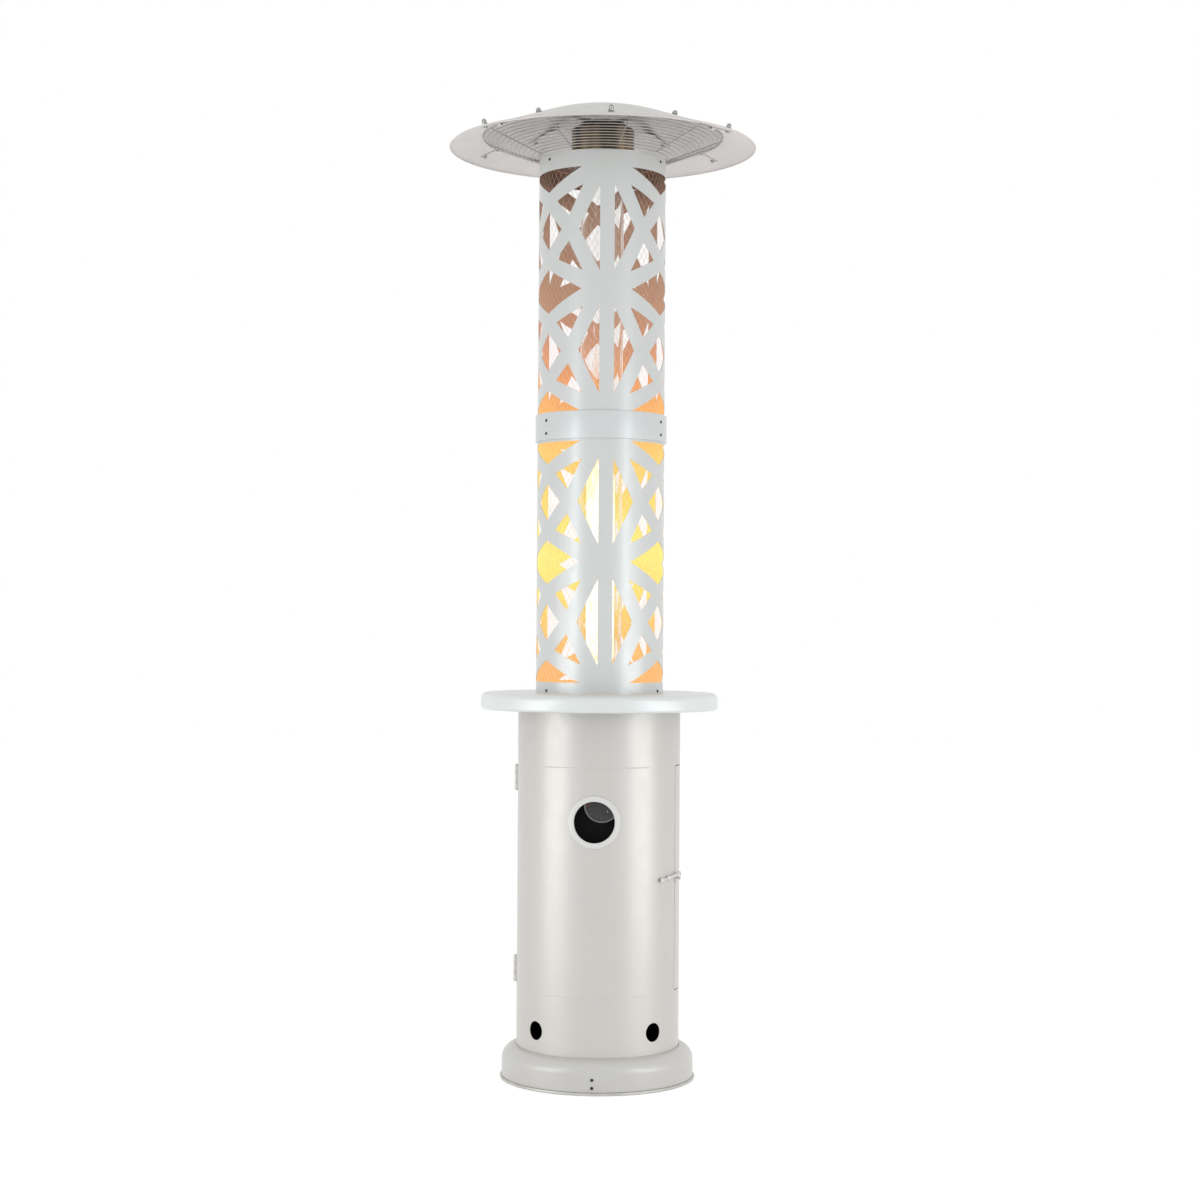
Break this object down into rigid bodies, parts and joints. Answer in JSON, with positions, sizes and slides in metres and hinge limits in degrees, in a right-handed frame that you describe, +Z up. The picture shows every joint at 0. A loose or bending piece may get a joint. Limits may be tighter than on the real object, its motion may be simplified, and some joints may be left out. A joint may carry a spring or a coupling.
{
  "type": "gas patio heater",
  "caption": "Freestanding gas patio heater: round gas cabinet with a curved door, round table, perforated column around a glass flame tube, emitter screen and wide conical reflector.",
  "frame": {"origin": "centre of the base plate's underside, on the floor", "axes": "+Z up along the column's axis; the front, with the round control opening, faces -Y"},
  "size_m": [0.638, 0.638, 2.0099],
  "materials": {
    "base_metal": "satin silver",
    "pearl_paint": "gloss warm pearl grey",
    "table_paint": "gloss pale grey",
    "sleeve_paint": "semi-gloss light grey",
    "reflector_steel": "satin sheet",
    "zinc_steel": "zinc plated",
    "bright_steel": "polished",
    "guard_steel": "dark, heat darkened",
    "heat_tinted_steel": "heat tinted gold",
    "black_steel": "matte black",
    "knob_plastic": "dark grey",
    "brass": "machined",
    "glass": "clear heat-resistant tube"
  },
  "bodies": {
    "heater": {"base_plate": "base_metal", "base_skirt": "pearl_paint", "base_screw_1": "zinc_steel", "base_screw_2": "zinc_steel", "housing_shell": "pearl_paint", "port_ring": "table_paint", "lower_hinge_shell_leaf": "zinc_steel", "lower_hinge_pin": "zinc_steel", "upper_hinge_shell_leaf": "zinc_steel", "upper_hinge_pin": "zinc_steel", "latch_rivet": "bright_steel", "control_box": "black_steel", "gas_valve": "brass", "gas_inlet": "brass", "gas_riser": "brass", "burner_head": "guard_steel", "spark_electrode": "bright_steel", "thermocouple": "bright_steel", "table_top": "table_paint", "lower_sleeve": "sleeve_paint", "upper_sleeve": "sleeve_paint", "joining_band": "sleeve_paint", "lower_guard": "guard_steel", "upper_guard": "guard_steel", "sleeve_top_plate": "zinc_steel", "glass_seat": "zinc_steel", "glass_tube": "glass", "emitter_screen": "heat_tinted_steel", "emitter_cap": "heat_tinted_steel", "reflector_bracket": "zinc_steel", "cap_bolt_1": "zinc_steel", "cap_bolt_2": "zinc_steel", "cap_bolt_3": "zinc_steel", "cap_bolt_4": "zinc_steel", "reflector": "reflector_steel", "reflector_bolt_1": "bright_steel", "reflector_bolt_2": "bright_steel", "reflector_bolt_3": "bright_steel", "reflector_bolt_4": "bright_steel", "reflector_bolt_5": "bright_steel", "reflector_bolt_6": "bright_steel", "arm_bolt_1": "bright_steel", "arm_bolt_2": "bright_steel", "arm_bolt_3": "bright_steel", "arm_bolt_4": "bright_steel", "wire_grille": "zinc_steel", "grille_clip_1": "zinc_steel", "grille_clip_2": "zinc_steel", "grille_clip_3": "zinc_steel", "grille_clip_4": "zinc_steel", "grille_clip_5": "zinc_steel", "grille_clip_6": "zinc_steel"},
    "door": {"cabinet_door": "pearl_paint", "lower_hinge_door_leaf": "zinc_steel", "upper_hinge_door_leaf": "zinc_steel", "latch_peg": "zinc_steel"},
    "hook": {"latch_hook": "zinc_steel"},
    "stem": {"valve_stem": "zinc_steel"},
    "knob": {"control_knob": "knob_plastic"}
  },
  "joints": [
    {"name": "door_hinge", "type": "hinge", "parent": "heater", "child": "door", "pos_m": [-0.17219, 0.00601, 0.418], "axis": [0, 0, 1], "range_deg": [0, 110]},
    {"name": "hook_pivot", "type": "hinge", "parent": "heater", "child": "hook", "pos_m": [0.14549, -0.084, 0.4205], "axis": [0.866, -0.5, 0], "range_deg": [-11, 80]},
    {"name": "stem_push", "type": "slide", "parent": "heater", "child": "stem", "axis": [0, 1, 0], "range_m": [0, 0.004], "stiffness_N_per_m": 1500, "springref_m": -0.001},
    {"name": "knob_turn", "type": "hinge", "parent": "stem", "child": "knob", "pos_m": [0.014, -0.15, 0.5725], "axis": [0, -1, 0], "range_deg": [0, 240]}
  ]
}
